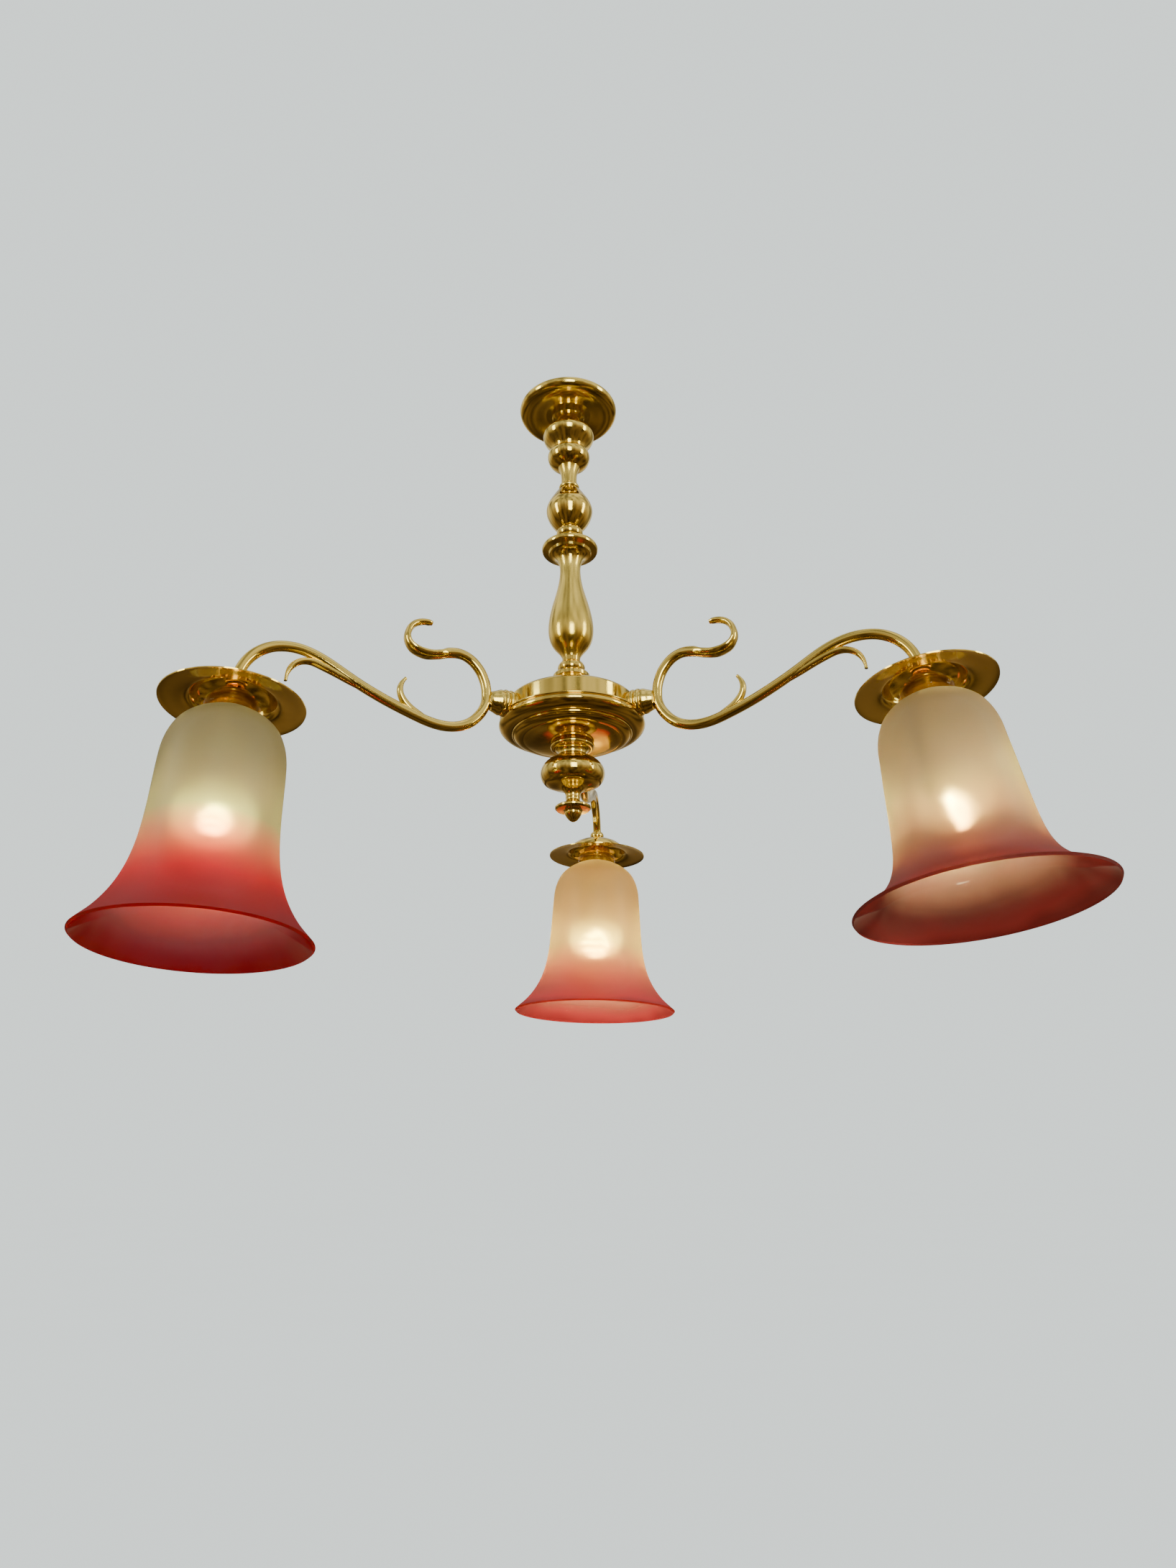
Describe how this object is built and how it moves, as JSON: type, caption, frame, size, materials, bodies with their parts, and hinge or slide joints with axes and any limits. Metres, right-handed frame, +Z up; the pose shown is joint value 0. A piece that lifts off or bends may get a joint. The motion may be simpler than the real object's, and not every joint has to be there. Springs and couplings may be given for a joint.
{
  "type": "ceiling light",
  "caption": "Hanging brass ceiling light: turned baluster stem under a round rose, drum body with leafed scroll arms, bell-shaped frosted glass shades shading to red, pointed finial.",
  "frame": {"origin": "centre of the ceiling plate's top face, in the ceiling plane, on the stem's axis", "axes": "+Z up along the stem, so the light hangs to -Z; +X and +Y lie in the ceiling plane, +X along the line of the ceiling screws"},
  "size_m": [0.7023, 0.6068, 0.5734],
  "materials": {
    "polished_brass": "polished, lacquered, warm yellow-gold",
    "satin_brass": "soft polish, paler gold",
    "frosted_red_glass": "frosted outside, cream at the neck shading to cranberry red at the rim, clear ridged neck",
    "bulb_glass": "pearl glass, lit",
    "nickel_cap": "drawn cap with bayonet pins",
    "holder_insulator": "moulded insulator with contact posts",
    "cable_sheath": "flexible sheathed wire",
    "zinc_steel": "zinc plated"
  },
  "bodies": {
    "frame": {"arm_boss_1": "polished_brass", "arm_boss_2": "polished_brass", "arm_boss_3": "polished_brass", "arm_tube_1": "polished_brass", "arm_tube_2": "polished_brass", "arm_tube_3": "polished_brass", "ball_knop": "polished_brass", "baluster_knop": "polished_brass", "bead_ring": "polished_brass", "body_drum": "polished_brass", "cables": "cable_sheath", "ceiling_plate": "zinc_steel", "cup_knop": "polished_brass", "disc_collar": "polished_brass", "holder_cap_1": "polished_brass", "holder_cap_2": "polished_brass", "holder_cap_3": "polished_brass", "holder_core_1": "holder_insulator", "holder_core_2": "holder_insulator", "holder_core_3": "holder_insulator", "holder_shell_1": "satin_brass", "holder_shell_2": "satin_brass", "holder_shell_3": "satin_brass", "pear_baluster": "satin_brass", "saucer_1": "polished_brass", "saucer_2": "polished_brass", "saucer_3": "polished_brass", "scroll_leaf_1": "polished_brass", "scroll_leaf_2": "polished_brass", "scroll_leaf_3": "polished_brass", "spur_inner_1": "polished_brass", "spur_inner_2": "polished_brass", "spur_inner_3": "polished_brass", "spur_outer_1": "polished_brass", "spur_outer_2": "polished_brass", "spur_outer_3": "polished_brass", "stem_nuts": "zinc_steel", "stem_tube": "polished_brass", "terminal_block": "holder_insulator", "upper_neck": "satin_brass"},
    "rose": {"rose_canopy": "polished_brass"},
    "rose_ring": {"rose_ring": "polished_brass"},
    "pan": {"pan_dish": "polished_brass", "pan_neck": "polished_brass"},
    "finial": {"finial_knop": "polished_brass", "finial_tip": "polished_brass"},
    "shade_1": {"shade_glass_1": "frosted_red_glass"},
    "ring_1": {"shade_ring_1": "satin_brass"},
    "bulb_1": {"bulb_cap_1": "nickel_cap", "bulb_glass_1": "bulb_glass"},
    "shade_2": {"shade_glass_2": "frosted_red_glass"},
    "ring_2": {"shade_ring_2": "satin_brass"},
    "bulb_2": {"bulb_cap_2": "nickel_cap", "bulb_glass_2": "bulb_glass"},
    "shade_3": {"shade_glass_3": "frosted_red_glass"},
    "ring_3": {"shade_ring_3": "satin_brass"},
    "bulb_3": {"bulb_cap_3": "nickel_cap", "bulb_glass_3": "bulb_glass"}
  },
  "joints": [
    {"name": "rose_drop", "type": "slide", "parent": "frame", "child": "rose", "axis": [0, 0, -1], "range_m": [0, 0.002]},
    {"name": "rose_ring_turn", "type": "hinge", "parent": "rose", "child": "rose_ring", "pos_m": [0, 0, -0.019], "axis": [0, 0, -1], "range_deg": [0, 738]},
    {"name": "pan_drop", "type": "slide", "parent": "frame", "child": "pan", "axis": [0, 0, -1], "range_m": [0, 0.012]},
    {"name": "finial_turn", "type": "hinge", "parent": "pan", "child": "finial", "pos_m": [0, 0, -0.4], "axis": [0, 0, -1], "range_deg": [0, 4340]},
    {"name": "shade_drop_1", "type": "slide", "parent": "frame", "child": "shade_1", "axis": [-0.0058, -0.0889, -0.996], "range_m": [0, 0.012]},
    {"name": "ring_turn_1", "type": "hinge", "parent": "shade_1", "child": "ring_1", "pos_m": [-0.25304, -0.13152, -0.38795], "axis": [-0.0058, -0.0889, -0.996], "range_deg": [0, 2200]},
    {"name": "bulb_pull_1", "type": "slide", "parent": "frame", "child": "bulb_1", "axis": [-0.0058, -0.0889, -0.996], "range_m": [0, 0.165]},
    {"name": "shade_drop_2", "type": "slide", "parent": "frame", "child": "shade_2", "axis": [0.0632, -0.1039, -0.9926], "range_m": [0, 0.012]},
    {"name": "ring_turn_2", "type": "hinge", "parent": "shade_2", "child": "ring_2", "pos_m": [0.27034, -0.12822, -0.38293], "axis": [0.0632, -0.1039, -0.9926], "range_deg": [0, 2200]},
    {"name": "bulb_pull_2", "type": "slide", "parent": "frame", "child": "bulb_2", "axis": [0.0632, -0.1039, -0.9926], "range_m": [0, 0.165]},
    {"name": "shade_drop_3", "type": "slide", "parent": "frame", "child": "shade_3", "axis": [-0.032, -0.0061, -0.9995], "range_m": [0, 0.012]},
    {"name": "ring_turn_3", "type": "hinge", "parent": "shade_3", "child": "ring_3", "pos_m": [0.02305, 0.28826, -0.38688], "axis": [-0.032, -0.0061, -0.9995], "range_deg": [0, 2200]},
    {"name": "bulb_pull_3", "type": "slide", "parent": "frame", "child": "bulb_3", "axis": [-0.032, -0.0061, -0.9995], "range_m": [0, 0.165]}
  ],
  "couplings": [
    {"joint": "rose_ring_turn", "follows": "rose_drop", "rad_per_m": 6283.2},
    {"joint": "finial_turn", "follows": "pan_drop", "rad_per_m": 6283.2},
    {"joint": "ring_turn_1", "follows": "shade_drop_1", "rad_per_m": 3141.6},
    {"joint": "ring_turn_2", "follows": "shade_drop_2", "rad_per_m": 3141.6},
    {"joint": "ring_turn_3", "follows": "shade_drop_3", "rad_per_m": 3141.6}
  ]
}
